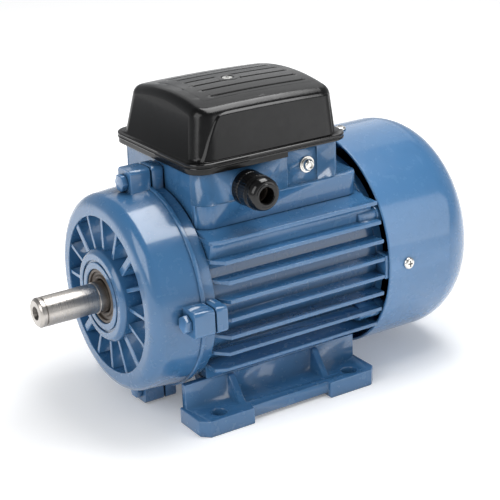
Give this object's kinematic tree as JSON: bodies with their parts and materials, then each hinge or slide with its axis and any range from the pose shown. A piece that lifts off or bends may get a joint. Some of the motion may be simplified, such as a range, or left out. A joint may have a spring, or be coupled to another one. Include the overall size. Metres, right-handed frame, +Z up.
{
  "type": "single-phase ac motor",
  "caption": "Foot-mounted single-phase ac motor: finned blue frame, ribbed drive-end shield, keyed shaft, domed fan cowl, black terminal box cover and cable gland.",
  "frame": {"origin": "middle of the foot hole pattern, on the floor plane", "axes": "+X along the shaft to its free end, +Y to the cable gland side, +Z up"},
  "size_m": [0.294, 0.158, 0.204],
  "materials": {
    "blue_paint": "satin blue paint on cast metal",
    "zinc_steel": "bright zinc plated",
    "shaft_steel": "ground and polished",
    "lamination_steel": "varnished sheet pack",
    "copper": "enamelled copper wire",
    "bearing_steel": "ground",
    "rubber": "moulded",
    "black_plastic": "satin black moulding",
    "board_plastic": "moulded board",
    "stud_brass": "turned",
    "can_aluminium": "drawn can and cast cage"
  },
  "bodies": {
    "frame": {"stator_frame": "blue_paint", "foot_right": "blue_paint", "foot_left": "blue_paint", "drive_end_shield": "blue_paint", "front_shield_bolts": "blue_paint", "rear_end_shield": "blue_paint", "fan_cowl": "blue_paint", "terminal_box_base": "blue_paint", "foot_screws": "zinc_steel", "rear_shield_bolts": "zinc_steel", "cowl_screws": "zinc_steel", "terminal_box_screws": "zinc_steel", "cover_screw": "zinc_steel", "earth_screw": "zinc_steel", "earth_washer": "zinc_steel", "preload_washer": "zinc_steel", "capacitor_clamps": "zinc_steel", "stator_core": "lamination_steel", "main_winding": "copper", "start_winding": "copper", "front_bearing_outer_ring": "bearing_steel", "rear_bearing_outer_ring": "bearing_steel", "shaft_seal": "rubber", "cover_gasket": "rubber", "gland_seal": "rubber", "terminal_box_cover": "black_plastic", "gland_body": "black_plastic", "gland_nut": "black_plastic", "gland_locknut": "black_plastic", "terminal_board": "board_plastic", "start_switch": "board_plastic", "terminal_studs": "stud_brass", "run_capacitor": "can_aluminium", "start_capacitor": "can_aluminium"},
    "rotor": {"shaft": "shaft_steel", "rotor_core": "lamination_steel", "rotor_cage": "can_aluminium", "front_bearing_inner_ring": "bearing_steel", "rear_bearing_inner_ring": "bearing_steel", "cooling_fan": "black_plastic", "fan_clip": "zinc_steel", "governor": "bearing_steel"},
    "front_cage": {"front_bearing_balls": "bearing_steel", "front_bearing_cage": "bearing_steel"},
    "rear_cage": {"rear_bearing_balls": "bearing_steel", "rear_bearing_cage": "bearing_steel"},
    "collar": {"switch_collar": "black_plastic"}
  },
  "joints": [
    {"name": "rotor_spin", "type": "hinge", "parent": "frame", "child": "rotor", "pos_m": [0, 0, 0.08], "axis": [1, 0, 0], "continuous": true},
    {"name": "front_cage_spin", "type": "hinge", "parent": "frame", "child": "front_cage", "pos_m": [0.079, 0, 0.08], "axis": [1, 0, 0], "continuous": true},
    {"name": "rear_cage_spin", "type": "hinge", "parent": "frame", "child": "rear_cage", "pos_m": [-0.073, 0, 0.08], "axis": [1, 0, 0], "continuous": true},
    {"name": "switch_slide", "type": "slide", "parent": "rotor", "child": "collar", "axis": [1, 0, 0], "range_m": [0, 0.003], "stiffness_N_per_m": 800}
  ],
  "couplings": [
    {"joint": "front_cage_spin", "follows": "rotor_spin", "ratio": 0.3815},
    {"joint": "rear_cage_spin", "follows": "rotor_spin", "ratio": 0.3816}
  ]
}
